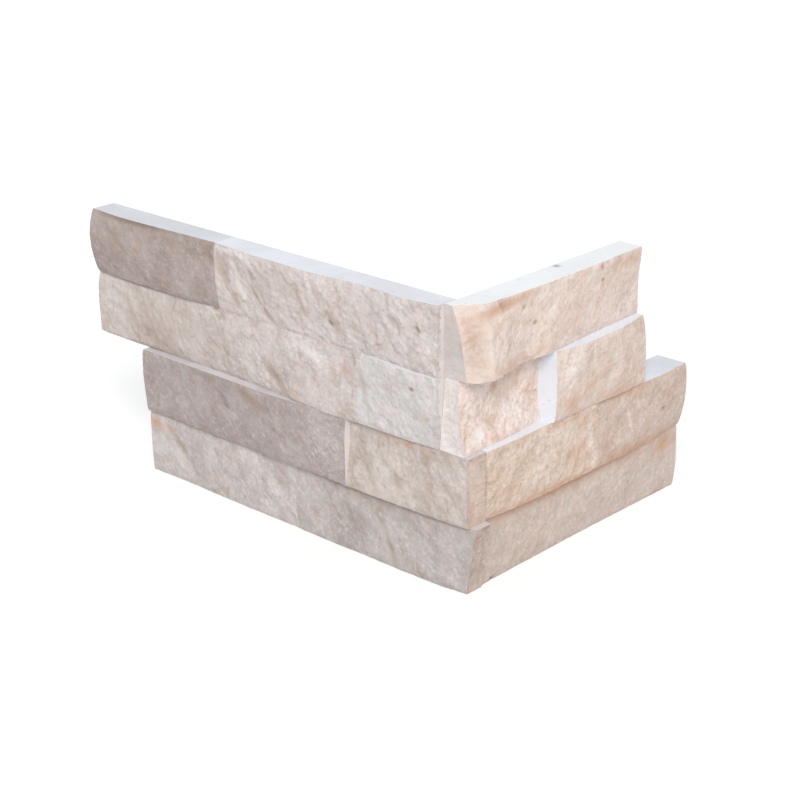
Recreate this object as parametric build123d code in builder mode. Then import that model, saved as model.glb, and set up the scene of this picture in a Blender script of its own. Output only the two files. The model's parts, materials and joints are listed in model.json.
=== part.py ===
from build123d import *
from math import ceil, cos, pi, sin
import os

# Outside corner of split-face stone cladding, in millimetres, Z up.
# The origin is the inner arris of the corner, at the bed of the lowest course.
# The long leg runs along -X with its sawn back on the plane Y = 0 and its split
# face towards -Y. The short leg runs along +Y with its back on X = 0 and its
# split face towards +X. Courses are counted from the top.

# Coursing and the two legs
course_height = 38.1     # sawn height of a strip
courses = 4
long_leg = 265.0         # inner arris to the end of courses 1 and 2
short_leg = 132.0        # inner arris to the end of courses 1 and 2
interlock = 39.5         # what courses 3 and 4 give up on the long leg and gain on the short one

# Butt joints along the legs, each measured from the inner arris
long_joint_1 = 161.5
long_joint_2 = 54.2
long_joint_3 = 63.6
long_joint_4 = 104.3
short_joint_2 = 55.8
short_joint_2_bed = 52.0 # this joint leans, so it has another place at the bed
short_joint_3 = 91.3

# How far each through stone runs past the inner arris, to close the corner.
# Two of these ends are split as well and lean, so that they have a lap at the bed too.
lap_1 = 9.0
lap_2 = 8.5
lap_2_bed = 13.0
lap_3 = 20.0
lap_4 = 24.0
lap_4_bed = 17.5

# The slab, and what the splitter leaves of it
slab = 34.0              # thickness of the sawn slab that a strip is split from
strip = 15.0             # usual thickness of a strip; each stone's own is given as shares of it
station_pitch = 12.0     # spacing of the sections that a split face is drawn through
arris_break = 0.4        # what spalls off the upper and lower arris
arris_height = 2.6       # how far down the face the spall reaches
knock_depth = 3.0        # what is knocked off the lower arris of the stone that overhangs the step
overcut = 2.0            # how far a cutting tool runs past the stone

# Relief of a split face: its depth, and the length and height of its three waves
relief = 1.5
swell_length, swell_height = 120.0, 88.0
slant_length, slant_height = 52.0, 61.0
ripple_length, ripple_height = 26.0, 33.0

long_lower = long_leg - interlock
short_lower = short_leg + interlock


def bed_of(course):
    """Height of the underside of a course above the lowest bed."""
    return (courses - course) * course_height


def across_long(s):
    """Section plane across the long leg: x outwards from the back, y up."""
    return Plane(origin=(-s, 0, 0), x_dir=(0, -1, 0), z_dir=(-1, 0, 0))


def across_short(s):
    """Section plane across the short leg: x outwards from the back, y up."""
    return Plane(origin=(0, s, 0), x_dir=(1, 0, 0), z_dir=(0, -1, 0))


def riven(s, z, grain, rough):
    """Relief of a riven face: a long swell, a slanting wave and a short ripple."""
    swell = sin(2 * pi * s / swell_length + 2.1 * grain) * cos(2 * pi * z / swell_height + 1.3 * grain)
    slant = sin(2 * pi * (s / slant_length - z / slant_height) + 3.7 * grain)
    ripple = sin(2 * pi * (s / ripple_length + z / ripple_height) + 5.9 * grain)
    return rough * relief * (0.5 * swell + 0.32 * slant + 0.18 * ripple)


def along(shares, u):
    """Thickness at the share u of a stone's length, from evenly spaced shares of a strip."""
    place = u * (len(shares) - 1)
    i = min(int(place), len(shares) - 2)
    return strip * (shares[i] + (place - i) * (shares[i + 1] - shares[i]))


def strip_face(across, start, course):
    """Sawn strip seen end-on at its start: the slab's thickness by the course height."""
    with BuildSketch(across(start)) as face:
        with Locations((0, bed_of(course))):
            Rectangle(slab, course_height, align=(Align.MIN, Align.MIN))
    return face.sketch


def waste(across, start, end, course, top, bed, belly, rough, grain, knock=0.0, chip=None):
    """Sections through the stone that the splitter knocks off the face of a strip.

    top and bed give the thickness left along the two arrises, belly swells the middle
    of the face from start to end, knock takes the lower arris off towards the end, and
    chip, a thickness at the bed with slopes along and up the face, slants the start.
    """
    foot = bed_of(course)
    steps = max(2, ceil((end - start) / station_pitch))
    heights = [0, arris_height, course_height * 0.22, course_height * 0.42,
               course_height * 0.62, course_height * 0.8, course_height - arris_height, course_height]
    sections = []
    for i in range(steps + 1):
        u = i / steps
        s = start + u * (end - start)
        swell = along(belly, u)
        outline = []
        for z in heights:
            v = z / course_height
            t = (1 - v) * along(bed, u) + v * along(top, u) + swell * 4 * v * (1 - v)
            t += riven(s, foot + z, grain, rough) * (0.15 + 0.85 * sin(pi * v))
            if z in (0, course_height):
                t -= arris_break
            if z == 0:
                t -= knock * max(0.0, (u - 0.7) / 0.3)
            if chip:
                t = min(t, strip * chip[0] + chip[1] * (s - start) - chip[2] * z)
            outline.append((t, foot + z))
        outline = [(outline[0][0], foot - overcut)] + outline + [(outline[-1][0], foot + course_height + overcut)]
        outline += [(slab + overcut, foot + course_height + overcut), (slab + overcut, foot - overcut)]
        if i in (0, steps):
            s += overcut * (1 if i else -1)
        with BuildSketch(across(s)) as section:
            with BuildLine():
                Polyline(*outline, close=True)
            make_face()
        sections.append(section.sketch)
    return sections


def past_lean(side, at_bed, at_top, course):
    """What is cut off a leaning end, seen from the side, with the end towards +x."""
    foot, head = bed_of(course), bed_of(course) + course_height
    far = max(at_bed, at_top) + overcut
    with BuildSketch(side) as wedge:
        with BuildLine():
            Polyline((at_bed, foot), (at_top, head), (far, head), (far, foot), close=True)
        make_face()
    return wedge.sketch


# Sides of the short leg, with the end at the corner or the far end towards +x
short_side_near = Plane(origin=(0, 0, 0), x_dir=(0, -1, 0), z_dir=(-1, 0, 0))
short_side_far = Plane(origin=(0, 0, 0), x_dir=(0, 1, 0), z_dir=(1, 0, 0))


# LONG LEG, course 1: a stone with a belly at the end, a rough one up to the corner
with BuildPart() as long_1_end:
    extrude(strip_face(across_long, long_joint_1, 1), amount=long_leg - long_joint_1)
    loft(waste(across_long, long_joint_1, long_leg, 1,
               top=(1.00, 1.08, 1.14, 1.19, 1.05), bed=(0.87, 0.99, 1.02, 1.01, 0.95),
               belly=(0.08, 0.26), rough=0.8, grain=1.0), ruled=True, mode=Mode.SUBTRACT)
long_1_end.part.label = "long_1_end"

with BuildPart() as long_1_corner:
    extrude(strip_face(across_long, 0, 1), amount=long_joint_1)
    loft(waste(across_long, 0, long_joint_1, 1,
               top=(0.92, 1.17, 1.03, 1.05, 1.20, 1.20, 1.18, 1.13, 1.00),
               bed=(0.97, 0.98, 0.86, 0.86, 0.90, 0.91, 0.91, 0.88, 0.87),
               belly=(0.04, 0.08), rough=1.2, grain=2.0), ruled=True, mode=Mode.SUBTRACT)
long_1_corner.part.label = "long_1_corner"

# Course 2: a long stone with its lower arris knocked off where it overhangs, a short one
with BuildPart() as long_2_end:
    extrude(strip_face(across_long, long_joint_2, 2), amount=long_leg - long_joint_2)
    loft(waste(across_long, long_joint_2, long_leg, 2,
               top=(0.84, 0.88, 0.91, 0.89, 0.87, 0.85, 0.87, 0.88, 0.91),
               bed=(1.03, 1.15, 1.03, 0.87, 0.84, 0.84, 0.87, 0.96, 1.03),
               belly=(0.08, 0.08), rough=1.0, grain=3.0, knock=knock_depth), ruled=True, mode=Mode.SUBTRACT)
long_2_end.part.label = "long_2_end"

with BuildPart() as long_2_corner:
    extrude(strip_face(across_long, 0, 2), amount=long_joint_2)
    loft(waste(across_long, 0, long_joint_2, 2,
               top=(1.04, 1.14, 1.02, 0.84), bed=(0.94, 1.06, 1.04, 1.03),
               belly=(-0.02, 0.08), rough=1.0, grain=3.0), ruled=True, mode=Mode.SUBTRACT)
long_2_corner.part.label = "long_2_corner"

# Course 3: a thick smooth stone, then a rough one set back that closes the corner
with BuildPart() as long_3_end:
    extrude(strip_face(across_long, long_joint_3, 3), amount=long_lower - long_joint_3)
    loft(waste(across_long, long_joint_3, long_lower, 3,
               top=(1.03, 1.13, 1.27, 1.23, 1.21, 1.20, 1.17), bed=(1.11, 1.05, 1.15, 1.02, 1.10, 1.00, 1.08),
               belly=(0.04, 0.04), rough=0.6, grain=5.0), ruled=True, mode=Mode.SUBTRACT)
long_3_end.part.label = "long_3_end"

with BuildPart() as long_3_corner:
    extrude(strip_face(across_long, -lap_3, 3), amount=long_joint_3 + lap_3)
    loft(waste(across_long, -lap_3, long_joint_3, 3,
               top=(0.97, 0.90, 0.85, 0.77, 0.76), bed=(0.94, 1.04, 1.06, 1.10, 1.08),
               belly=(0.03, 0.0), rough=0.9, grain=6.0), ruled=True, mode=Mode.SUBTRACT)
long_3_corner.part.label = "long_3_corner"

# Course 4: two flatter stones, the inner one through to the corner with a leaning end
with BuildPart() as long_4_end:
    extrude(strip_face(across_long, long_joint_4, 4), amount=long_lower - long_joint_4)
    loft(waste(across_long, long_joint_4, long_lower, 4,
               top=(0.82, 0.83, 0.84, 0.80, 0.94), bed=(0.93, 0.94, 0.93, 0.88, 0.92),
               belly=(0.04, 0.05), rough=0.6, grain=7.0), ruled=True, mode=Mode.SUBTRACT)
long_4_end.part.label = "long_4_end"

with BuildPart() as long_4_corner:
    past_corner_4 = max(lap_4, lap_4_bed)
    extrude(strip_face(across_long, -past_corner_4, 4), amount=long_joint_4 + past_corner_4)
    loft(waste(across_long, -past_corner_4, long_joint_4, 4,
               top=(0.80, 0.87, 0.82, 0.79, 0.80, 0.82), bed=(0.72, 0.95, 0.95, 0.95, 0.97, 0.93),
               belly=(0.02, 0.04), rough=0.6, grain=8.0), ruled=True, mode=Mode.SUBTRACT)
    extrude(past_lean(Plane.XZ, lap_4_bed, lap_4, 4), amount=slab + overcut, both=True, mode=Mode.SUBTRACT)
long_4_corner.part.label = "long_4_corner"

# SHORT LEG, course 1: one stone with its corner knocked off at a slant, thinnest at the top
with BuildPart() as short_1:
    extrude(strip_face(across_short, -lap_1, 1), amount=-(short_leg + lap_1))
    loft(waste(across_short, -lap_1, short_leg, 1,
               top=(0.93, 1.13, 1.19, 1.21, 1.19, 1.15, 1.10, 1.04),
               bed=(1.68, 1.48, 1.02, 1.30, 1.18, 1.07, 1.00, 0.92),
               belly=(0.12, -0.04), rough=0.8, grain=9.0, chip=(0.87, 0.95, 0.17)), ruled=True, mode=Mode.SUBTRACT)
short_1.part.label = "short_1"

# Course 2: a thin rough stone at the corner, then a thick one with its sawn end in view
with BuildPart() as short_2_corner:
    past_corner_2 = max(lap_2, lap_2_bed)
    stop_2 = max(short_joint_2, short_joint_2_bed)
    extrude(strip_face(across_short, -past_corner_2, 2), amount=-(stop_2 + past_corner_2))
    loft(waste(across_short, -past_corner_2, stop_2, 2,
               top=(0.62, 0.66, 0.60, 0.64, 0.78), bed=(1.12, 1.15, 1.10, 1.02, 0.85),
               belly=(-0.14, -0.25), rough=0.9, grain=10.0), ruled=True, mode=Mode.SUBTRACT)
    extrude(past_lean(short_side_near, lap_2_bed, lap_2, 2),
            amount=slab + overcut, both=True, mode=Mode.SUBTRACT)
    extrude(past_lean(short_side_far, short_joint_2_bed, short_joint_2, 2),
            amount=slab + overcut, both=True, mode=Mode.SUBTRACT)
short_2_corner.part.label = "short_2_corner"

with BuildPart() as short_2_end:
    start_2 = min(short_joint_2, short_joint_2_bed)
    extrude(strip_face(across_short, start_2, 2), amount=-(short_leg - start_2))
    loft(waste(across_short, start_2, short_leg, 2,
               top=(1.22, 1.60, 1.54, 1.48, 1.18), bed=(1.45, 1.41, 1.40, 1.46, 1.40),
               belly=(0.09, 0.04), rough=0.6, grain=11.0), ruled=True, mode=Mode.SUBTRACT)
    extrude(past_lean(short_side_near, -short_joint_2_bed, -short_joint_2, 2),
            amount=slab + overcut, both=True, mode=Mode.SUBTRACT)
short_2_end.part.label = "short_2_end"

# Course 3
with BuildPart() as short_3_corner:
    extrude(strip_face(across_short, 0, 3), amount=-short_joint_3)
    loft(waste(across_short, 0, short_joint_3, 3,
               top=(1.40, 1.42, 1.38, 1.32, 1.33), bed=(1.27, 1.40, 1.44, 1.42, 1.40),
               belly=(0.04, 0.04), rough=0.8, grain=12.0), ruled=True, mode=Mode.SUBTRACT)
short_3_corner.part.label = "short_3_corner"

with BuildPart() as short_3_end:
    extrude(strip_face(across_short, short_joint_3, 3), amount=-(short_lower - short_joint_3))
    loft(waste(across_short, short_joint_3, short_lower, 3,
               top=(1.20, 1.30, 1.48, 1.33), bed=(1.38, 1.41, 1.32, 1.07),
               belly=(0.02, 0.16), rough=0.6, grain=13.0), ruled=True, mode=Mode.SUBTRACT)
short_3_end.part.label = "short_3_end"

# Course 4: one smooth stone
with BuildPart() as short_4:
    extrude(strip_face(across_short, 0, 4), amount=-short_lower)
    loft(waste(across_short, 0, short_lower, 4,
               top=(1.04, 1.04, 1.07, 1.16, 1.24, 1.03), bed=(1.12, 1.05, 1.00, 0.98, 0.98, 0.96),
               belly=(0.05, 0.04), rough=0.6, grain=14.0), ruled=True, mode=Mode.SUBTRACT)
short_4.part.label = "short_4"

os.makedirs("parts", exist_ok=True)
stones = (long_1_end, long_1_corner, long_2_end, long_2_corner, long_3_end, long_3_corner,
          long_4_end, long_4_corner, short_1, short_2_corner, short_2_end, short_3_corner,
          short_3_end, short_4)
for stone in stones:
    export_step(stone.part, f"parts/{stone.part.label}.step")
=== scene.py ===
# %% [markdown]
# # A travertine cladding corner
# The real object is an outside corner of stacked stone: sawn strips of travertine
# whose faces were split off with a blade, glued edge to edge in four courses. Two legs
# meet at a right angle, and their ends are stepped so that the next panel locks in.
# The solids of the fourteen stones come with the frame. This lesson dresses each of
# them: a dense skin takes its outline from the solid, gets the broken relief of split
# stone, and is coloured by nodes.

# %% Load the frame
import json
import math

import bmesh
import bpy
from mathutils import Matrix, Vector, noise
from mathutils.bvhtree import BVHTree


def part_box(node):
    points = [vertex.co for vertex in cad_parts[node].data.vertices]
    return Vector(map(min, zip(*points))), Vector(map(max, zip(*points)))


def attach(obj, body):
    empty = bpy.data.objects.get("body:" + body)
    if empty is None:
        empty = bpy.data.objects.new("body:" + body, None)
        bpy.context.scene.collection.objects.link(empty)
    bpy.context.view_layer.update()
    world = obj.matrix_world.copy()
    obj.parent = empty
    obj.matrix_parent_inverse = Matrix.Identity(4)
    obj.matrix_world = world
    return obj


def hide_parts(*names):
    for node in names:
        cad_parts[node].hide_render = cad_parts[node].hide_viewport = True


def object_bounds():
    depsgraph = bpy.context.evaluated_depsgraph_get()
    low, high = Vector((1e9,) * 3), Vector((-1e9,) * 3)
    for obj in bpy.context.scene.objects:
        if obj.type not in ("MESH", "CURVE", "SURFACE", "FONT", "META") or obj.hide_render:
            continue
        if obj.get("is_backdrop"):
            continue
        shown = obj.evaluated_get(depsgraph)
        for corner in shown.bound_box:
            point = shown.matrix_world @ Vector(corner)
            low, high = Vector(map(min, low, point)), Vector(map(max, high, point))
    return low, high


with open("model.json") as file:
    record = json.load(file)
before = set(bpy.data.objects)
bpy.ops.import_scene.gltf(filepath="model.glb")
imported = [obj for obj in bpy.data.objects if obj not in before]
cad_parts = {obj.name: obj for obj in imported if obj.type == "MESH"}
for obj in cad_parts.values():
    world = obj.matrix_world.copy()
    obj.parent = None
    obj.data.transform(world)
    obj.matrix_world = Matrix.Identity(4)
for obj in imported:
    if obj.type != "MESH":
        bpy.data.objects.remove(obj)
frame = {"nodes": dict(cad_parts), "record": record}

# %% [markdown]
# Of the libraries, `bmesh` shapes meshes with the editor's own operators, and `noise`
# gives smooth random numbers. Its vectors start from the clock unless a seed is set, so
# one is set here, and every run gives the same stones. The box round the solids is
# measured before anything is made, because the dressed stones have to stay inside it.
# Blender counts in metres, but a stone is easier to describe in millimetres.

noise.seed_set(1)
cad_low, cad_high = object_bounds()
MM = 0.001
box_size = [round(v / MM, 1) for v in cad_high - cad_low]
print("solids:", len(frame["nodes"]), "in a box of", box_size, "mm")

# %% [markdown]
# The photograph was taken from above the outer corner, a little nearer the long leg. A
# camera could be nudged until it fits, but working back from the vanishing lines gives
# the place of the lens, its direction and its angle at once. A camera matrix holds
# three columns: right, up, and backwards.

# %% Camera
EYE = Vector((0.5971, -0.6754, 0.4544))
AZIMUTH, ELEVATION, ROLL = math.radians(43.28), math.radians(21.51), math.radians(-0.57)
FOCAL_PIXELS, FRAME_PIXELS, SENSOR = 1928.1, 800, 36.0

forward = Vector((-math.sin(AZIMUTH) * math.cos(ELEVATION),
                  math.cos(AZIMUTH) * math.cos(ELEVATION), -math.sin(ELEVATION)))
right = Vector((math.cos(AZIMUTH), math.sin(AZIMUTH), 0))
turned = Matrix((right, right.cross(forward), -forward)).transposed().to_4x4()
lens = bpy.data.cameras.new("camera")
lens.sensor_width = SENSOR
lens.lens = FOCAL_PIXELS * SENSOR / FRAME_PIXELS
camera = bpy.data.objects.new("camera", lens)
camera.matrix_world = Matrix.Translation(EYE) @ turned @ Matrix.Rotation(ROLL, 4, "Z")
bpy.context.scene.collection.objects.link(camera)
bpy.context.scene.camera = camera
print("lens", round(lens.lens, 2), "mm")

# %% [markdown]
# Shader maths reads best as plain arithmetic. This small class wraps one socket, and
# every operator on it adds a Math node. Its one method `node` makes any other node from
# its type, its settings and the values or links of its sockets.

# %% A socket that does arithmetic
class Wire:
    def __init__(self, tree, socket=None):
        self.tree, self.socket = tree, socket

    def node(self, kind, settings=None, sockets=None, out=0):
        made = self.tree.nodes.new("ShaderNode" + kind)
        for name, value in (settings or {}).items():
            setattr(made, name, value)
        for name, value in (sockets or {}).items():
            if isinstance(value, Wire):
                self.tree.links.new(value.socket, made.inputs[name])
            else:
                made.inputs[name].default_value = value
        return Wire(self.tree, made.outputs[out] if made.outputs else None)

    def maths(self, operation, *terms):
        return self.node("Math", {"operation": operation}, dict(enumerate(terms)))

    def __add__(self, other): return self.maths("ADD", self, other)
    def __radd__(self, other): return self.maths("ADD", other, self)
    def __sub__(self, other): return self.maths("SUBTRACT", self, other)
    def __rsub__(self, other): return self.maths("SUBTRACT", other, self)
    def __mul__(self, other): return self.maths("MULTIPLY", self, other)
    def __rmul__(self, other): return self.maths("MULTIPLY", other, self)


def empty_nodes(owner):
    owner.use_nodes = True
    owner.node_tree.nodes.clear()
    return Wire(owner.node_tree)


# %% [markdown]
# The light is that of a bright studio. An even sky fills every hollow, and one soft
# lamp stands above the outer corner, so that both legs are as bright as the sawn tops.
# Brighter lamps would give a white background too, but they would bleach the stone. So
# the background is white only for a ray that comes from the lens, straight or by way of
# something glossy or clear, and the Light Path node tells such a ray from one that
# lights the stone.

# %% Light
SKY, SKY_COLOUR, WHITE = 0.62, (0.97, 0.985, 1.0, 1), (1, 1, 1, 1)
LAMP, LAMP_COLOUR, LAMP_SOFTNESS = 1.9, (1.0, 0.985, 0.96), 30
LAMP_FROM = Vector((0.52, -0.56, 0.64))

bpy.context.scene.view_settings.view_transform = "Standard"
world = bpy.data.worlds.new("studio")
bpy.context.scene.world = world
sky = empty_nodes(world)
straight, glossy, clear = (sky.node("LightPath", out=f"Is {kind} Ray")
                           for kind in ("Camera", "Glossy", "Transmission"))
seen = sky.maths("MAXIMUM", sky.maths("MAXIMUM", straight, glossy), clear)
even = sky.node("Background", None, {"Color": SKY_COLOUR, "Strength": SKY})
white = sky.node("Background", None, {"Color": WHITE, "Strength": 1.0})
either = sky.node("MixShader", None, {0: seen, 1: even, 2: white})
sky.node("OutputWorld", None, {"Surface": either})

sun = bpy.data.lights.new("studio_lamp", "SUN")
sun.energy, sun.angle, sun.color = LAMP, math.radians(LAMP_SOFTNESS), LAMP_COLOUR
lamp = bpy.data.objects.new("studio_lamp", sun)
lamp.matrix_world = LAMP_FROM.to_track_quat("Z", "Y").to_matrix().to_4x4()
bpy.context.scene.collection.objects.link(lamp)
print("sky", SKY, "lamp", LAMP)

# %% [markdown]
# An image of stone would have edges and would repeat, so the patterns come from noise,
# and three helpers say what they have in common. `grain` is a noise whose size is in
# millimetres of the stone: a first Mapping turns it as the stone's bedding lies, and a
# second stretches it and shifts it, so that no two stones look alike. `mask` turns a
# noise into soft patches between two levels. `blend` mixes two colours.

# %% Helpers for patterns
LEVEL = (0, 0, 0)


def grain(wire, size, stretch=(1, 1, 1), turn=LEVEL, shift=0.0, detail=4.0, rough=0.55):
    flat = wire.node("TexCoord", out="Object")
    laid = wire.node("Mapping", None, {"Vector": flat, "Rotation": turn})
    scale = tuple(1 / (MM * size * k) for k in stretch)
    place = wire.node("Mapping", None, {"Vector": laid, "Scale": scale,
                                        "Location": (shift, shift * 0.7, shift * 1.3)})
    return wire.node("TexNoise", None, {"Vector": place, "Scale": 1.0,
                                        "Detail": detail, "Roughness": rough})


def mask(value, low, high):
    return value.node("MapRange", {"interpolation_type": "SMOOTHSTEP"},
                      {"Value": value, "From Min": low, "From Max": high})


def blend(wire, factor, a, b):
    a, b = (c if isinstance(c, Wire) else (*c, 1) for c in (a, b))
    return wire.node("Mix", {"data_type": "RGBA"}, {0: factor, 6: a, 7: b}, out=2)


trial = bpy.data.materials.new("trial")
patches = empty_nodes(trial)
blend(patches, mask(grain(patches, 5), 0.4, 0.6), (0, 0, 0), (1, 1, 1))
print("soft patches of two colours take", len(trial.node_tree.nodes), "nodes")
bpy.data.materials.remove(trial)

# %% [markdown]
# Colours are written as read off a screen, 0 to 255, and turned into the linear light
# that nodes mix. `towards` moves a colour part of the way to another, so that each
# stone needs one colour of its own and gets its pale, deep and veined shades from it.

# %% Colours
def srgb(levels):
    return tuple(((v / 255 + 0.055) / 1.055) ** 2.4 for v in levels)


def towards(colour, other, share):
    return tuple(a + (b - a) * share for a, b in zip(colour, other))


CALCITE, EARTH, UMBER = (250, 246, 246), (152, 128, 102), (104, 84, 70)
IRON_AND_WARM_SHADE, ROSE, CLAY = (200, 144, 100), (222, 192, 182), (194, 192, 184)
print("calcite in linear light:", [round(v, 3) for v in srgb(CALCITE)])

# %% [markdown]
# A split face of travertine is cloudy: pale calcite, tan blotches that lie along the
# bedding, a blush of iron here and of grey clay there, and sandy flecks of a few
# millimetres. Each layer is a row of a table: its noise, the two levels between which
# it sets in, how strong it is, and its colour. Five numbers come with the mesh as
# attributes: how hollow the place is, which is painted darker as shade and as dirt, and
# where a mark of rust, earth, calcite or umber was laid. Rust, earth and umber are
# stains in some places and painted shade in others: along joints where the stone above
# overhangs, and broadly towards the left end of the long leg. A mark is thin, so some of
# the stone shows through it, and its edge breaks up into grains, because the flecks
# decide there how much of it is seen. The finest grit is bump, under a millimetre high.

# %% Split stone
STAINS_AND_SHADE = {"rust_and_shade": (IRON_AND_WARM_SHADE, 0.55), "earth_and_shade": (EARTH, 0.6),
          "calcite": (CALCITE, 0.5), "umber_and_shade": (UMBER, 0.6)}
FLECKS, HOLLOW_SHADE_AND_DIRT = 0.22, 0.35


def split_stone(name, colour, lay, seed, clouds=0.5, veins=0.4, sand=1.0, blush=0.4):
    material = bpy.data.materials.new(name)
    start = empty_nodes(material)
    cloud = grain(start, 24, (1.3, 1.3, 0.9), lay, seed, 4.0)
    blotch = grain(start, 7, (1.35, 1.35, 0.85), lay, seed + 3, 5.0, 0.65)
    tint = grain(start, 6, (1.15, 1.15, 0.9), lay, seed + 7, 4.0, 0.65)
    fleck = grain(start, 2.0, (1.1, 1.1, 0.9), lay, seed + 11, 3.0, 0.7)
    pale, deep = towards(colour, CALCITE, 0.45), towards(colour, EARTH, 0.40)
    mixed = srgb(colour)
    for pattern, low, high, strength, layer_colour in (
            (cloud, 0.36, 0.64, clouds, pale),
            (blotch, 0.50, 0.66, veins, deep),
            (blotch, 0.50, 0.34, clouds, pale),
            (tint, 0.50, 0.66, blush, towards(colour, ROSE, 0.45)),
            (tint, 0.50, 0.34, blush, towards(colour, CLAY, 0.5)),
            (fleck, 0.53, 0.68, FLECKS * sand, CALCITE),
            (fleck, 0.47, 0.32, FLECKS * sand, EARTH)):
        mixed = blend(start, mask(pattern, low, high) * strength, mixed, srgb(layer_colour))
    # Rust, earth and umber marks: stains, and painted shade along overhung joints and towards
    # the long leg's left end.
    for mark_kind, (layer_colour, strength) in STAINS_AND_SHADE.items():
        laid = start.node("Attribute", {"attribute_name": mark_kind}, out="Fac")
        through = mask(fleck + laid * 0.5, 0.45, 0.95)
        mixed = blend(start, laid * through * strength, mixed, srgb(layer_colour))
    # Painted shade and dirt: hollow places are mixed towards earth.
    hollow = start.node("Attribute", {"attribute_name": "hollow"}, out="Fac")
    mixed = blend(start, mask(hollow, 0.45, 1.0) * HOLLOW_SHADE_AND_DIRT, mixed, srgb(EARTH))
    grit = grain(start, 0.9, shift=seed, rough=0.7)
    bump = start.node("Bump", None, {"Height": grit + fleck, "Strength": 0.35 * sand,
                                     "Distance": 0.5 * MM})
    shader = start.node("BsdfPrincipled", None, {
        "Base Color": mixed, "Normal": bump, "Roughness": 0.86 + fleck * 0.1,
        "Specular IOR Level": 0.25})
    start.node("OutputMaterial", None, {"Surface": shader})
    return material


trial = split_stone("trial", CALCITE, LEVEL, 0.0)
print("a split stone takes", len(trial.node_tree.nodes), "nodes")
bpy.data.materials.remove(trial)

# %% [markdown]
# Sawn faces are whiter and cooler, because the blade leaves a fine dust in the pores.
# Only faint clouds and small pores are left of the stone's pattern, with the level
# marks of the blade, and a dark speck where one was laid. The tops differ a little from
# stone to stone, and those of the long leg's courses 3 and 4 are painted darker, as the
# shade of the course above. The backs can't be seen in the photograph: they keep a pale
# shade of each stone's own colour, so that the joints show there too.

# %% Sawn stone
def sawn_stone(name, pale, mid, seed=0.0):
    material = bpy.data.materials.new(name)
    start = empty_nodes(material)
    clouds = grain(start, 22, (2.2, 2.2, 1), LEVEL, seed, 4.0)
    pores = grain(start, 1.8, (1.6, 1.6, 1), LEVEL, seed + 5, 2.0)
    marks = grain(start, 1.1, (9, 9, 0.9), LEVEL, seed + 9, 2.0)
    mixed = blend(start, mask(clouds, 0.38, 0.62), srgb(mid), srgb(pale))
    mixed = blend(start, mask(pores, 0.68, 0.76) * 0.25, mixed, srgb(EARTH))
    speck = start.node("Attribute", {"attribute_name": "speck"}, out="Fac")
    mixed = blend(start, speck * 0.7, mixed, srgb(UMBER))
    bump = start.node("Bump", None, {"Height": marks * 0.5 - mask(pores, 0.64, 0.74),
                                     "Strength": 0.3, "Distance": 0.3 * MM})
    shader = start.node("BsdfPrincipled", None, {
        "Base Color": mixed, "Normal": bump, "Roughness": 0.74 + clouds * 0.12,
        "Specular IOR Level": 0.3})
    start.node("OutputMaterial", None, {"Surface": shader})
    return material


sawn = sawn_stone("sawn_travertine", (232, 235, 243), (223, 225, 231))
sawn_white = sawn_stone("sawn_white", (244, 247, 249), (238, 241, 243), 1.0)
sawn_cool = sawn_stone("sawn_cool", (231, 237, 246), (225, 231, 240), 5.0)
sawn_grey = sawn_stone("sawn_grey", (225, 228, 236), (214, 216, 222), 2.0)
# Painted shade: the sawn faces of the long leg's courses 3 and 4 are darker, as in the shade of
# the course above.
sawn_shaded = sawn_stone("sawn_shaded", (214, 211, 214), (200, 195, 197), 4.0)
backs = {}
for name, pale, mid, seed in (("taupe", (205, 200, 199), (190, 184, 182), 6.0),
                              ("beige", (224, 220, 216), (208, 202, 197), 7.0),
                              ("rose", (232, 221, 214), (218, 205, 197), 8.0),
                              ("ochre", (230, 216, 202), (214, 198, 182), 9.0)):
    backs["travertine_" + name] = sawn_stone(name + "_back", pale, mid, seed)
print("sawn stone:", len(sawn.node_tree.nodes), "nodes, backs:", list(backs))

# %% [markdown]
# Every stone is described in three lengths: `s` along its leg from the inner arris,
# `t` outwards from its sawn back, and `z` up. The long leg runs towards -X and splits
# towards -Y, the short leg runs towards +Y and splits towards +X. In these lengths one
# recipe makes the stones of both legs.

# %% From stone lengths to the frame and back
def from_stone(leg, s, t, z):
    return Vector((-s, -t, z)) * MM if leg == "long" else Vector((t, s, z)) * MM


def to_stone(leg, point):
    s, t = (-point.x, -point.y) if leg == "long" else (point.y, point.x)
    return s / MM, t / MM, point.z / MM


print("100 mm along and 14 mm out on the short leg:", from_stone("short", 100, 14, 0)[:])

# %% [markdown]
# The skin could be a remeshed copy of the solid, but its grid would not follow the sawn
# arrises. So the solid is felt with rays instead, as a profile gauge feels a moulding.
# One ray from beyond each end finds where the stone starts and stops at a given height,
# since some of the ends lean. A ray from the front finds how thick it is at any place.
# A ray that ran along an edge could miss, so all of them keep a hair inside.

# %% Feel a solid
BEYOND, IN_FRONT, OFF_BACK = 400, 60, 2
INSIDE_BED, INSIDE_END = 0.05, 0.1


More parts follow.
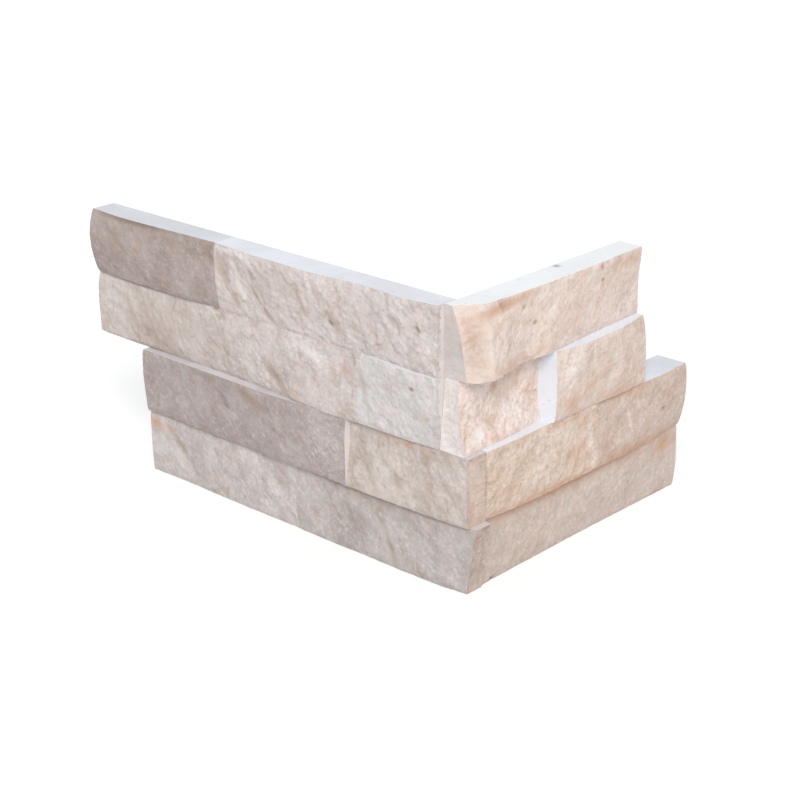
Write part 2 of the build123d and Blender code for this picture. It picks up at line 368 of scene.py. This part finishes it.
class Gauge:
    def __init__(self, node):
        self.leg = node.split("_")[0]
        probe = bmesh.new()
        probe.from_mesh(frame["nodes"][node].data)
        self.solid = BVHTree.FromBMesh(probe)
        probe.free()
        corners = [to_stone(self.leg, c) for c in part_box(node)]
        (self.s0, self.s1), (self.z0, self.z1) = (sorted(c[i] for c in corners) for i in (0, 2))

    def inside(self, z):
        return min(max(z, self.z0 + INSIDE_BED), self.z1 - INSIDE_BED)

    def touch(self, begin, way):
        begin, way = from_stone(self.leg, *begin), from_stone(self.leg, *way)
        return to_stone(self.leg, self.solid.ray_cast(begin, way)[0])

    def ends(self, z):
        z = self.inside(z)
        return (self.touch((-BEYOND, OFF_BACK, z), (1, 0, 0))[0],
                self.touch((BEYOND, OFF_BACK, z), (-1, 0, 0))[0])

    def depth(self, s, z, ends):
        s = min(max(s, ends[0] + INSIDE_END), ends[1] - INSIDE_END)
        return self.touch((s, IN_FRONT, self.inside(z)), (0, -1, 0))[1]


gauge = Gauge("long_4_corner")
starts = [round(gauge.ends(z)[0], 1) for z in (gauge.z0, gauge.z1)]
print("the corner stone of course 4 starts at", starts, "mm, at its bed and top")

# %% [markdown]
# Broken stone has relief of several sizes. A single noise looks like dough, so several
# are added. A long swell comes first. The flakes lie along the bedding and each has its
# own slope, taken from a Voronoi cell, so that their borders are small steps. Crumbs of
# a few millimetres cover all. Each number that a length is divided by is the size of
# that form in millimetres, and `rough` says how high they all are.

# %% Broken relief
def flakes(along, across, size, seed):
    point = Vector((along / size, across / size, seed))
    centre = noise.voronoi(point)[1][0]
    slope = noise.noise_vector(centre * 7.3)
    return (point - centre).dot(slope)


def relief(s, z, seed, rough, lean):
    along = s * math.cos(lean) + z * math.sin(lean)
    across = z * math.cos(lean) - s * math.sin(lean)
    bend = 3.0 * noise.noise(Vector((s / 12, z / 12, seed + 3)))
    swell = noise.noise(Vector((s / 22, z / 17, seed * 7.1)))
    ridge = abs(noise.noise(Vector((along / 13, (across + bend) / 9, seed + 9))))
    broad = flakes(along / 1.3, across + bend, 9.0, seed)
    small = flakes(along / 1.1, across + bend, 3.4, seed + 5)
    crumbs = noise.fractal(Vector((s, z, seed * 3)) / 2.2, 0.5, 2.1, 3)
    forms = 0.5 * swell + 0.7 * (ridge - 0.25) + 1.5 * broad + 0.9 * small + 0.2 * crumbs
    return rough * forms + 0.12 * crumbs


print("relief at three places:", [round(relief(s, 20, 1, 1, 0.7), 2) for s in (10, 20, 30)])

# %% [markdown]
# The noises place nothing on purpose, so the stains, the painted shade and the pits that
# stand out are laid one by one. All are soft ellipses on the face: `s` along the leg, `z`
# above the stone's own bed, two half sizes and a turn in degrees. A `streak` is one that
# runs from one point to another. `share` says how much of a mark there is at a place,
# and beyond FADED there is none.

# %% Stains and pits
FADED = 5


def spot(kind, s, z, wide, high, turn=0, strength=1.0):
    return kind, s, z, wide, high, math.radians(turn), strength


def streak(kind, start, end, high, strength=1.0):
    (s0, z0), (s1, z1) = start, end
    return (kind, (s0 + s1) / 2, (z0 + z1) / 2, 0.6 * math.dist(start, end), high,
            math.atan2(z1 - z0, s1 - s0), strength)


def share(mark, s, z):
    kind, at_s, at_z, wide, high, turn, strength = mark
    a = (s - at_s) * math.cos(turn) + (z - at_z) * math.sin(turn)
    b = (z - at_z) * math.cos(turn) - (s - at_s) * math.sin(turn)
    fall = (a / wide) ** 2 + (b / high) ** 2
    return min(1.0, strength * math.exp(-fall)) if fall < FADED else 0.0


print("a spot at its middle, and two half sizes away:",
      [round(share(spot("pit", 0, 0, 3, 3), s, 0), 2) for s in (0, 3, 6)])

# %% [markdown]
# A stone starts as a cube of one unit each way, which `subdivide_edges` cuts into a
# fine grid of squares. Its faces know from the start which of four materials they get:
# the split front, the plain cuts at the top, the bed and the far end, the near end, and
# the back. The back needs no grid, so its squares are dissolved into one face.

# %% Block of stone
GRID = 0.8
ACROSS, ACROSS_END = 3, 16
HAIR = 1e-5
FRONT, CUT, END, BACK = range(4)


def block(length, height, across):
    bm = bmesh.new()
    bmesh.ops.create_cube(bm, size=1, matrix=Matrix.Translation((0.5, 0.5, 0.5)))
    for face in bm.faces:
        front, back, end = face.normal.y > 0.5, face.normal.y < -0.5, face.normal.x < -0.5
        face.material_index = FRONT if front else END if end else BACK if back else CUT
    for axis, cuts in ((0, length / GRID), (2, height / GRID), (1, across)):
        lines = [e for e in bm.edges if abs((e.verts[0].co - e.verts[1].co)[axis]) > HAIR]
        bmesh.ops.subdivide_edges(bm, edges=lines, cuts=round(cuts) - 1, use_grid_fill=True)
    bmesh.ops.dissolve_faces(bm, faces=[f for f in bm.faces if f.normal.y < -0.5])
    return bm


trial = block(8, 8, ACROSS)
print("a block of 8 x 8 mm has", len(trial.faces), "faces")
trial.free()

# %% [markdown]
# At each point of the split face, the stone is as thick as the gauge feels, plus the
# relief. The relief falls away towards the sawn arrises, and a little spalls off there.
# Hollows are painted darker than humps: painted shade, and dirt that stays in them. A
# knock is where a blow took off an arris: a slanted plane cuts the face there, and a
# smooth minimum wears the new arris round. No point may pass the furthest one of the
# solids.

# %% Thickness at a place
ARRIS_FADE, ARRIS_KEPT, END_KEPT = 2.4, 0.25, 0.3
SPALL, SPALL_WIDTH = 0.35, 1.3
HOLLOW_MEAN, HOLLOW_SWING = 0.4, 0.45
WORN, KNOCK_RELIEF = 3.5, 0.8
THINNEST = 1.0
FURTHEST = {"long": -cad_low.y / MM, "short": cad_high.x / MM}


def face_at(gauge, s, z, ends, rough, seed, lean, marks, knocks):
    """Thickness in millimetres, and the attributes, at one place of the split face."""
    t = gauge.depth(s, z, ends)
    bumps = relief(s, z, seed, rough, lean)
    edge, side = min(z - gauge.z0, gauge.z1 - z), min(s - ends[0], ends[1] - s)
    t += bumps * min(1, ARRIS_KEPT + edge / ARRIS_FADE) * min(1, END_KEPT + side / ARRIS_FADE)
    ragged = 0.5 + noise.noise(Vector((s / 4, z / 4, seed + 50)))
    t = min(t - SPALL * ragged * max(0, 1 - edge / SPALL_WIDTH), FURTHEST[gauge.leg])
    # How hollow a place is; the shader paints it darker, as shade and as dirt.
    hollow = HOLLOW_MEAN - HOLLOW_SWING * bumps / (rough + 0.1)
    values = {"hollow": min(1, max(0, hollow))}
    for mark in marks:
        amount = share(mark, s, z - gauge.z0)
        if mark[0] == "pit":
            t -= amount
            values["hollow"] = min(1, values["hollow"] + amount)
        else:
            values[mark[0]] = max(values.get(mark[0], 0), amount)
    for at_s, at_z, at_t, by_s, by_z in knocks:
        plane = at_t + by_s * (s - at_s) + by_z * (z - gauge.z0 - at_z)
        chipped = plane + KNOCK_RELIEF * bumps
        t = min(t, chipped) - max(0, WORN - abs(t - chipped)) ** 2 / (4 * WORN)
    return max(THINNEST, t), values


plain = face_at(gauge, 60, 19, gauge.ends(19), 0.5, 8.0, 0.75, (), ())
print("the corner stone of course 4 is", round(plain[0], 1), "mm thick, 60 mm along")

# %% [markdown]
# Once the points are in place, the faces are shaded smooth, but the arrises between two
# materials stay sharp, and so do the steepest steps of the break. Where the break ran
# round the rim of a sawn end, faces of the end take the split material. On the short
# leg `s` and `t` change places, which turns a shape inside out, so its faces are
# reversed. Last, the back is inset by a hair and set out by as much, which eases its
# arrises, so that the joints between the backs show as fine lines.

# %% Faces of a stone
EASED, SHARP = 0.35, 0.9


def settle_faces(bm, leg, broken):
    for face in bm.faces:
        face.smooth = True
        if face.material_index == END and all(v in broken for v in face.verts):
            face.material_index = FRONT
    for edge in bm.edges:
        alike = len({f.material_index for f in edge.link_faces}) == 1
        edge.smooth = alike and edge.calc_face_angle(0) < SHARP
    if leg == "short":
        bmesh.ops.reverse_faces(bm, faces=bm.faces)
    bm.normal_update()
    back = [face for face in bm.faces if face.material_index == BACK]
    eased = bmesh.ops.inset_region(bm, faces=back, thickness=EASED * MM, depth=EASED * MM)
    for face in eased["faces"]:
        face.material_index, face.smooth = BACK, False


trial = block(8, 8, ACROSS)
whole = len(trial.faces)
settle_faces(trial, "long", set())
print("easing the back adds", len(trial.faces) - whole, "faces")
trial.free()

# %% [markdown]
# A finished skin becomes an object that rides with the corner and takes the place of its
# node's solid, which is hidden. The node's slot says which of the backs it gets.

# %% Skin for a node
dressed = []


def put_on(bm, node, split, cut, end):
    mesh = bpy.data.meshes.new("stone_" + node)
    bm.to_mesh(mesh)
    bm.free()
    slot = next(p["material_slot"] for p in frame["record"]["subparts"] if p["node"] == node)
    for material in (split, cut, end, backs[slot]):
        mesh.materials.append(material)
    stone = bpy.data.objects.new("stone_" + node, mesh)
    bpy.context.scene.collection.objects.link(stone)
    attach(stone, "root")
    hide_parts(node)
    dressed.append(stone)
    print(node, "faces", len(mesh.polygons))


# %% [markdown]
# `dress` does the whole of one stone. `split`, `saw` and `end` are materials: an `end`
# is given to a stone whose near end shows round the corner. `rough` and `end_rough` are
# the height of the relief, and `lean` is the slope of the flakes. A knock is a point of
# its plane, as s, z and t, and the plane's slopes along s and z. `rim` is how many
# millimetres the break runs round a sawn end, and a speck is its s, its t and its size.
# The points behind each other share one place of the face, so it is worked out once.

# %% Dress one stone
END_FADE, END_SUNK, END_LEAN, RIM_WAVE = 2.5, 0.6, 0.5, 5


def dress(node, split, rough, seed, lean, marks=(), knocks=(), saw=sawn, end=None,
          end_rough=0.0, rim=0.0, specks=()):
    gauge = Gauge(node)
    length, height = gauge.s1 - gauge.s0, gauge.z1 - gauge.z0
    bm = block(length, height, ACROSS_END if end else ACROSS)
    layers = {name: bm.verts.layers.float.new(name) for name in ("hollow", "speck", *STAINS_AND_SHADE)}
    reach, places, broken = {}, {}, set()
    for v in bm.verts:
        u, w, h = v.co
        z = gauge.z0 + h * height
        row, place = round(h, 5), (round(u, 5), round(h, 5))
        if row not in reach:
            reach[row] = gauge.ends(z)
        s = reach[row][0] + u * (reach[row][1] - reach[row][0])
        if place not in places:
            places[place] = face_at(gauge, s, z, reach[row], rough, seed, lean, marks, knocks)
        t, values = places[place]
        for name, value in values.items():
            v[layers[name]] = value
        if u < HAIR and end:
            edge = min(h, 1 - h) * height, min(w, 1 - w) * t
            inwards = end_rough * min(1, min(edge) / END_FADE)
            s += inwards * (END_SUNK + relief(t * w, z, seed + 40, 1.0, END_LEAN))
            if t * (1 - w) < rim * (1 + noise.noise(Vector((z / RIM_WAVE, seed, 0)))):
                broken.add(v)
        v.co = from_stone(gauge.leg, s, max(t * w, EASED), z)
        for at_s, at_t, size in specks if h > 1 - HAIR else ():
            far = (s - at_s) ** 2 + (t * w - at_t) ** 2
            v[layers["speck"]] = math.exp(-far / size ** 2)
    settle_faces(bm, gauge.leg, broken)
    put_on(bm, node, split, saw, end or saw)


# %% [markdown]
# The long leg, from the top course down. Its stones are cool beige and grey, and their
# bedding leans down to the right. Nothing on them repeats, so each stone is a call of
# its own with its own marks. The end stone of course 1 is darker and smoother, and the
# one beside it rough, with flakes and brown veins along the bedding. That stone stands
# out past the short leg's, so a strip of its sawn near end shows, with a broken rim. A
# dark line runs along the top of many stones, at the foot of the one above: dirt in the
# joint, and painted shade where the stone above overhangs. Broad faint earth spots on
# courses 1 and 2 are painted shade, darker towards the left end of the leg.

# %% Long leg, course 1
LONG_LEAN = math.radians(43)
DOWN_RIGHT = (0, -LONG_LEAN, 0)
lilac_end = sawn_stone("lilac_end", (227, 221, 220), (219, 211, 209), 3.0)

dress("long_1_end",
      split_stone("taupe_stone", (158, 144, 140), DOWN_RIGHT, seed=1.0,
                  clouds=0.4, veins=0.4, sand=0.7, blush=0.5),
      rough=0.4, seed=1.0, lean=LONG_LEAN, saw=sawn_grey, marks=[
          spot("umber_and_shade", 225, 37.6, 40, 2.2), spot("earth_and_shade", 225, 35, 40, 5, 0, 0.5),
          streak("umber_and_shade", (252, 34), (238, 24), 1.8, 0.5),
          streak("rust_and_shade", (224, 31), (220, 21), 2.6, 0.6),
          streak("earth_and_shade", (205, 37), (190, 29), 3.2, 0.8),
          streak("earth_and_shade", (169, 38), (161, 24), 2.2, 0.7), spot("earth_and_shade", 243, 26, 9, 9, 0, 0.6)])
dress("long_1_corner",
      split_stone("veined_stone", (204, 194, 191), DOWN_RIGHT, seed=2.0,
                  clouds=0.6, veins=0.6, sand=1.0, blush=0.6),
      rough=1.0, seed=2.0, lean=LONG_LEAN, marks=[
          streak("earth_and_shade", (160, 32), (149, 13), 4.2, 0.85),
          streak("earth_and_shade", (150, 15), (143, 3), 3.4, 0.9),
          spot("earth_and_shade", 131, 27, 5, 3.4, 60, 0.9), spot("rust_and_shade", 131, 28, 6, 4, 60, 0.4),
          streak("earth_and_shade", (133, 20), (125, 10), 1.9, 1.0),
          streak("earth_and_shade", (126, 11), (115, 1), 2.6, 0.95),
          streak("earth_and_shade", (100, 32), (92, 15), 3.0, 0.8),
          streak("earth_and_shade", (84, 34), (77, 20), 2.6, 0.7),
          streak("earth_and_shade", (75, 19), (65, 8), 4.2, 0.9),
          # The broad faint earth spot at s 122 is painted shade, darker towards the left.
          streak("earth_and_shade", (61, 29), (52, 7), 2.6, 0.5), spot("earth_and_shade", 122, 18, 38, 24, 0, 0.35),
          spot("umber_and_shade", 73, 12.6, 1.8, 1.3), spot("pit", 73, 12.6, 1.5, 1.1),
          spot("umber_and_shade", 12.2, 23.2, 2.6, 1.0, 20), spot("pit", 12.2, 23.2, 2.4, 0.9, 20),
          spot("calcite", 148, 36, 14, 2.2, 0, 0.8),
          streak("calcite", (146, 24), (135, 8), 2.6, 0.7)],
      end=lilac_end, rim=2.8)

# %% [markdown]
# Course 2 is rough all along. Its outer stone is buff with a chalky streak towards the
# joint, and the short stone beside the corner is the palest of the leg.

# %% Long leg, course 2
dress("long_2_end",
      split_stone("buff_stone", (191, 180, 176), DOWN_RIGHT, seed=3.0,
                  clouds=0.6, veins=0.5, sand=1.0, blush=0.6),
      rough=0.8, seed=3.0, lean=LONG_LEAN, saw=sawn_grey, marks=[
          # Painted shade under the overhang of course 1, and dirt in the joint: the umber band
          # along the top.
          spot("umber_and_shade", 222, 37.8, 46, 1.5, strength=1.2),
          spot("umber_and_shade", 166, 37.2, 3.2, 1.4, strength=0.8), spot("pit", 166, 37.0, 2.5, 1.0),
          streak("earth_and_shade", (240, 30), (229, 2), 5.0, 0.75),
          # Painted shade: this broad earth spot darkens the leg towards its left end.
          spot("earth_and_shade", 214, 15, 42, 24, 0, 0.6),
          streak("earth_and_shade", (198, 32), (189, 20), 3.6, 0.55),
          streak("calcite", (106, 34), (77, 27), 5.0, 0.9),
          streak("earth_and_shade", (125, 18), (108, 4), 3.6, 0.95),
          streak("rust_and_shade", (110, 7), (90, 3), 3.0, 0.6),
          spot("rust_and_shade", 63.7, 26.5, 3.8, 2.8, 30, 0.8)])
dress("long_2_corner",
      split_stone("pale_grey_stone", (206, 202, 202), DOWN_RIGHT, seed=4.0,
                  clouds=0.45, veins=0.5, sand=1.0, blush=0.6),
      rough=0.7, seed=3.0, lean=LONG_LEAN, marks=[
          spot("umber_and_shade", 15.9, 29.2, 1.8, 1.2), spot("pit", 15.9, 29.2, 1.5, 1.0),
          streak("earth_and_shade", (54, 32), (46, 12), 2.4, 0.7)],
      end=lilac_end, rim=2.8)

# %% [markdown]
# In course 3 the outer stone is the smoothest of all, mauve, with a few dark streaks in
# its upper half. The corner stone runs through, so its near end shows on the short leg,
# where it is split too, and tan.

# %% Long leg, course 3
brown_end = split_stone("tan_end", (197, 172, 157), LEVEL, seed=6.5)
dress("long_3_end",
      split_stone("mauve_stone", (161, 149, 147), DOWN_RIGHT, seed=5.0,
                  clouds=0.35, veins=0.35, sand=0.7, blush=0.5),
      rough=0.35, seed=5.0, lean=LONG_LEAN, saw=sawn_shaded, marks=[
          # The umber along the top, here and at s 110, is painted shade along the joint with
          # course 2.
          streak("umber_and_shade", (190, 37.5), (160, 34), 2.6, 0.6),
          streak("umber_and_shade", (164, 32), (150, 22), 2.0, 0.65),
          streak("earth_and_shade", (148, 37), (123, 28), 3.4, 0.95),
          streak("rust_and_shade", (138, 33), (124, 28), 2.4, 0.4),
          streak("earth_and_shade", (171, 22), (163, 13), 2.2, 0.6),
          spot("umber_and_shade", 155, 22, 3.0, 1.6, 20, 0.8), spot("pit", 155, 22, 2.4, 1.3, 20, 0.8),
          spot("umber_and_shade", 110, 37.9, 20, 1.0, strength=0.4),
          spot("calcite", 80, 20, 16, 26, 0, 0.5)],
      end=lilac_end)
dress("long_3_corner",
      split_stone("warm_beige_stone", (190, 178, 171), DOWN_RIGHT, seed=6.0,
                  clouds=0.6, veins=0.6, sand=1.0, blush=0.5),
      rough=0.85, seed=6.0, lean=LONG_LEAN, saw=sawn_shaded, marks=[
          # The umber and rust along the top are painted shade under the overhang of course 2.
          spot("umber_and_shade", 28, 37.9, 40, 1.4, strength=0.8), spot("rust_and_shade", 24, 35, 24, 2.4, 0, 0.7),
          streak("earth_and_shade", (62, 27), (38, 4), 3.0, 0.65), spot("earth_and_shade", 27, 14, 7, 5, 40, 0.8),
          spot("earth_and_shade", 6, 12, 8, 6, 40, 0.5)],
      end=brown_end, end_rough=0.7)

# %% [markdown]
# Course 4 is smooth and streaked, with rust near its outer end and a dark line all along
# its top, which is painted shade under the overhang of course 3, and dirt in the joint.
# Its corner stone runs through too, and shows a darker end.

# %% Long leg, course 4
umber_end = split_stone("umber_end", (177, 156, 143), LEVEL, seed=7.5)
dress("long_4_end",
      split_stone("streaked_stone", (184, 177, 175), DOWN_RIGHT, seed=7.0,
                  clouds=0.6, veins=0.5, sand=1.0, blush=0.6),
      rough=0.55, seed=7.0, lean=LONG_LEAN, saw=sawn_shaded, marks=[
          # Painted shade under the overhang of course 3, and dirt in the joint: the umber band
          # along the top.
          spot("umber_and_shade", 165, 37.6, 75, 1.7, strength=0.9),
          spot("rust_and_shade", 221, 31, 7, 4.5, 20, 1.0), spot("rust_and_shade", 210, 30, 5, 3, 20, 0.9),
          streak("earth_and_shade", (206, 28), (195, 18), 2.6, 0.8),
          spot("rust_and_shade", 153.7, 34, 3, 3, 0, 0.7), spot("rust_and_shade", 170, 11, 3.6, 3, 30, 0.8),
          streak("earth_and_shade", (129, 35), (104, 24), 2.4, 0.5),
          streak("calcite", (138, 29), (108, 13), 6, 0.6)])
dress("long_4_corner",
      split_stone("brown_streaked_stone", (170, 162, 159), DOWN_RIGHT, seed=7.0,
                  clouds=0.55, veins=0.5, sand=1.0, blush=0.6),
      rough=0.5, seed=8.0, lean=LONG_LEAN, saw=sawn_shaded, marks=[
          # The umber and earth bands along the top are painted shade under the overhang of
          # course 3.
          spot("umber_and_shade", 46, 37.3, 62, 2.1), spot("earth_and_shade", 50, 34, 66, 4.5, strength=0.5),
          streak("earth_and_shade", (38, 21), (29, 4), 2.2, 0.9), spot("earth_and_shade", 62, 20, 10, 3, 50, 0.6)],
      end=umber_end, end_rough=0.7)

# %% [markdown]
# The short leg's stones are pinkish, and their bedding rises to the right. Courses 1
# and 2 run through to the corner here. Course 1 is one long stone, with rust along its
# top edge, a dark speck on its sawn top and a corner that was knocked off. In course 2 a
# thin rough stone lies beside a thick one, whose sawn white end stands out past it.

# %% Short leg, courses 1 and 2
SHORT_LEAN = math.radians(35)
UP_RIGHT = (-SHORT_LEAN, 0, 0)
grey_end = split_stone("grey_end", (208, 202, 201), LEVEL, seed=9.5, clouds=0.3, veins=0.25)
shell_end = split_stone("shell_end", (223, 215, 212), LEVEL, seed=10.5, clouds=0.5, veins=0.3)

dress("short_1",
      split_stone("rose_stone", (227, 207, 196), UP_RIGHT, seed=9.0,
                  clouds=0.5, veins=0.45, sand=1.1, blush=0.5),
      rough=0.55, seed=9.0, lean=SHORT_LEAN, saw=sawn_white, marks=[
          streak("rust_and_shade", (-8, 31), (40, 37.2), 3.0, 1.0),
          streak("earth_and_shade", (-6, 33), (24, 36.6), 1.8, 0.6),
          spot("rust_and_shade", 118, 33, 22, 4.5, 0, 0.7), spot("rust_and_shade", 80, 35, 18, 3, 0, 0.4),
          spot("rust_and_shade", -4, 22, 5, 14, 0, 0.6), spot("earth_and_shade", -4, 18, 8, 24, 0, 0.6),
          spot("pit", 31.6, 29.8, 1.2, 1.0), spot("umber_and_shade", 31.6, 29.8, 1.2, 1.0, strength=0.7),
          spot("pit", 40, 19.6, 1.2, 1.0), spot("earth_and_shade", 40, 19.6, 1.6, 1.2),
          spot("pit", 96, 36, 1.4, 1.0), spot("earth_and_shade", 96, 35, 2, 1.6),
          spot("pit", 97, 28, 1.2, 0.9), spot("earth_and_shade", 97, 28, 1.6, 1.2),
          spot("rust_and_shade", 22, 2.5, 22, 3.4, 0, 0.75), spot("rust_and_shade", 45, 4, 10, 4.5, 0, 0.6)],
      knocks=[(-9, 38.1, 4.8, 0.95, -0.53)], end=grey_end, end_rough=0.3,
      specks=[(74.6, 3.0, 1.9)])
dress("short_2_corner",
      split_stone("shell_stone", (230, 207, 195), UP_RIGHT, seed=10.0,
                  clouds=0.8, veins=0.6, sand=1.3, blush=0.7),
      rough=1.0, seed=10.0, lean=SHORT_LEAN, marks=[
          spot("rust_and_shade", 19, 28, 6, 4, 30, 0.9), spot("rust_and_shade", 36, 31, 14, 6, 0, 0.6),
          spot("rust_and_shade", 50, 16, 7, 12, 0, 0.6), spot("earth_and_shade", 22, 19, 7, 4, 40, 0.5),
          spot("calcite", 2, 8, 7, 6, 30, 0.9), spot("calcite", 28, 11, 8, 5, 0, 0.7)],
      end=shell_end, end_rough=0.9)
dress("short_2_end",
      split_stone("pink_tan_stone", (216, 194, 181), UP_RIGHT, seed=11.0,
                  clouds=0.5, veins=0.45, sand=1.1, blush=0.5),
      rough=0.55, seed=11.0, lean=SHORT_LEAN, saw=sawn_cool, marks=[
          spot("calcite", 66, 26, 7, 16, -35, 0.75), spot("rust_and_shade", 66, 7, 9, 8, 0, 0.85),
          streak("rust_and_shade", (72, 6), (96, 20), 5, 0.6), spot("rust_and_shade", 105, 3, 22, 3.4, 0, 0.7)])

# %% [markdown]
# Course 3 has the ochre bands, and course 4 is a single stone with a broad orange-brown
# band along its top, painted warm shade where course 3 overhangs it.

# %% Short leg, courses 3 and 4
ochre = split_stone("ochre_stone", (214, 191, 173), UP_RIGHT, seed=12.0,
                    clouds=0.7, veins=0.65, sand=1.3, blush=0.7)
dress("short_3_corner", ochre, rough=0.85, seed=12.0, lean=SHORT_LEAN, marks=[
    spot("calcite", 50, 32, 12, 5, 0, 0.7), spot("calcite", 84, 24, 4, 12, 0, 0.7),
    spot("rust_and_shade", 72, 14, 14, 8, 30, 0.65), spot("rust_and_shade", 20, 12, 14, 8, 30, 0.55),
    spot("rust_and_shade", 65, 35, 22, 3, 0, 0.65), spot("rust_and_shade", 45, 1.5, 60, 3.4, 0, 0.8),
    spot("umber_and_shade", 90.7, 13.8, 1.2, 8, 0, 0.4), spot("umber_and_shade", 91, 34, 1.2, 4, 0, 0.7)],
    end=ochre, end_rough=0.2)
dress("short_3_end",
      split_stone("grey_tan_stone", (198, 175, 161), UP_RIGHT, seed=13.0,
                  clouds=0.45, veins=0.4, sand=1.1, blush=0.6),
      rough=0.5, seed=13.0, lean=SHORT_LEAN, saw=sawn_grey, marks=[
          streak("calcite", (117, 30), (121, 8), 1.8, 0.7),
          spot("umber_and_shade", 149, 18, 2.0, 1.4, 0, 0.8), spot("pit", 149, 18, 1.6, 1.1),
          # The rust and umber at the top near s 116 are painted shade under the overhang of
          # course 2; the rust along the bed is a stain.
          spot("rust_and_shade", 130, 1.5, 50, 4.5, 0, 0.8), spot("rust_and_shade", 116, 36, 24, 2.4, 0, 0.8),
          spot("umber_and_shade", 116, 37.9, 24, 1.1, 0, 0.6)])
dress("short_4",
      split_stone("rose_grey_stone", (198, 181, 171), UP_RIGHT, seed=14.0,
                  clouds=0.4, veins=0.35, sand=1.1, blush=0.6),
      rough=0.4, seed=14.0, lean=SHORT_LEAN, marks=[
          # The rust, umber and earth bands along the top are painted warm shade under the
          # overhang of course 3.
          spot("rust_and_shade", 60, 36, 90, 6, 0, 1.0), spot("umber_and_shade", 70, 37.6, 90, 1.6, strength=0.5),
          spot("earth_and_shade", 60, 37, 90, 3, 0, 0.6), spot("rust_and_shade", 158, 31, 18, 8, 0, 0.9),
          spot("umber_and_shade", 9.5, 1.0, 1.8, 1.4), spot("pit", 9.5, 1.0, 1.6, 1.4)])

# %% [markdown]
# The floor is a plain pale sheet. Lamps strong enough to make it white would bleach the
# stones too. So it is pale grey and keeps their soft shadow, and a faint glow that only
# the camera sees lifts it to white, like the background.

# %% Floor
FLOOR_HALF, PAPER, GLOW = 3.0, (0.86, 0.86, 0.86, 1), 0.22

bm = bmesh.new()
bmesh.ops.create_grid(bm, x_segments=1, y_segments=1, size=FLOOR_HALF)
floor_mesh = bpy.data.meshes.new("floor")
bm.to_mesh(floor_mesh)
bm.free()
floor = bpy.data.objects.new("floor", floor_mesh)
bpy.context.scene.collection.objects.link(floor)
paper = bpy.data.materials.new("white_paper")
page = empty_nodes(paper)
shade = page.node("BsdfDiffuse", None, {"Color": PAPER})
watched = page.node("LightPath", out="Is Camera Ray")
glow = page.node("Emission", None, {"Strength": watched * GLOW})
page.node("OutputMaterial", None, {"Surface": page.node("AddShader", None, {0: shade, 1: glow})})
floor_mesh.materials.append(paper)
floor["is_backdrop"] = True
print("floor", 2 * FLOOR_HALF, "m wide")

# %% [markdown]
# Last, the box of the dressed stones is written beside that of the solids, so that the
# two can be compared: dressing must not make the object larger.

# %% Sizes
low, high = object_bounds()
grown = [[round(v / MM, 2) for v in by] for by in (cad_low - low, high - cad_high)]
print("grown by, mm:", *grown)
print("triangles:", sum(len(p.vertices) - 2 for o in dressed for p in o.data.polygons))
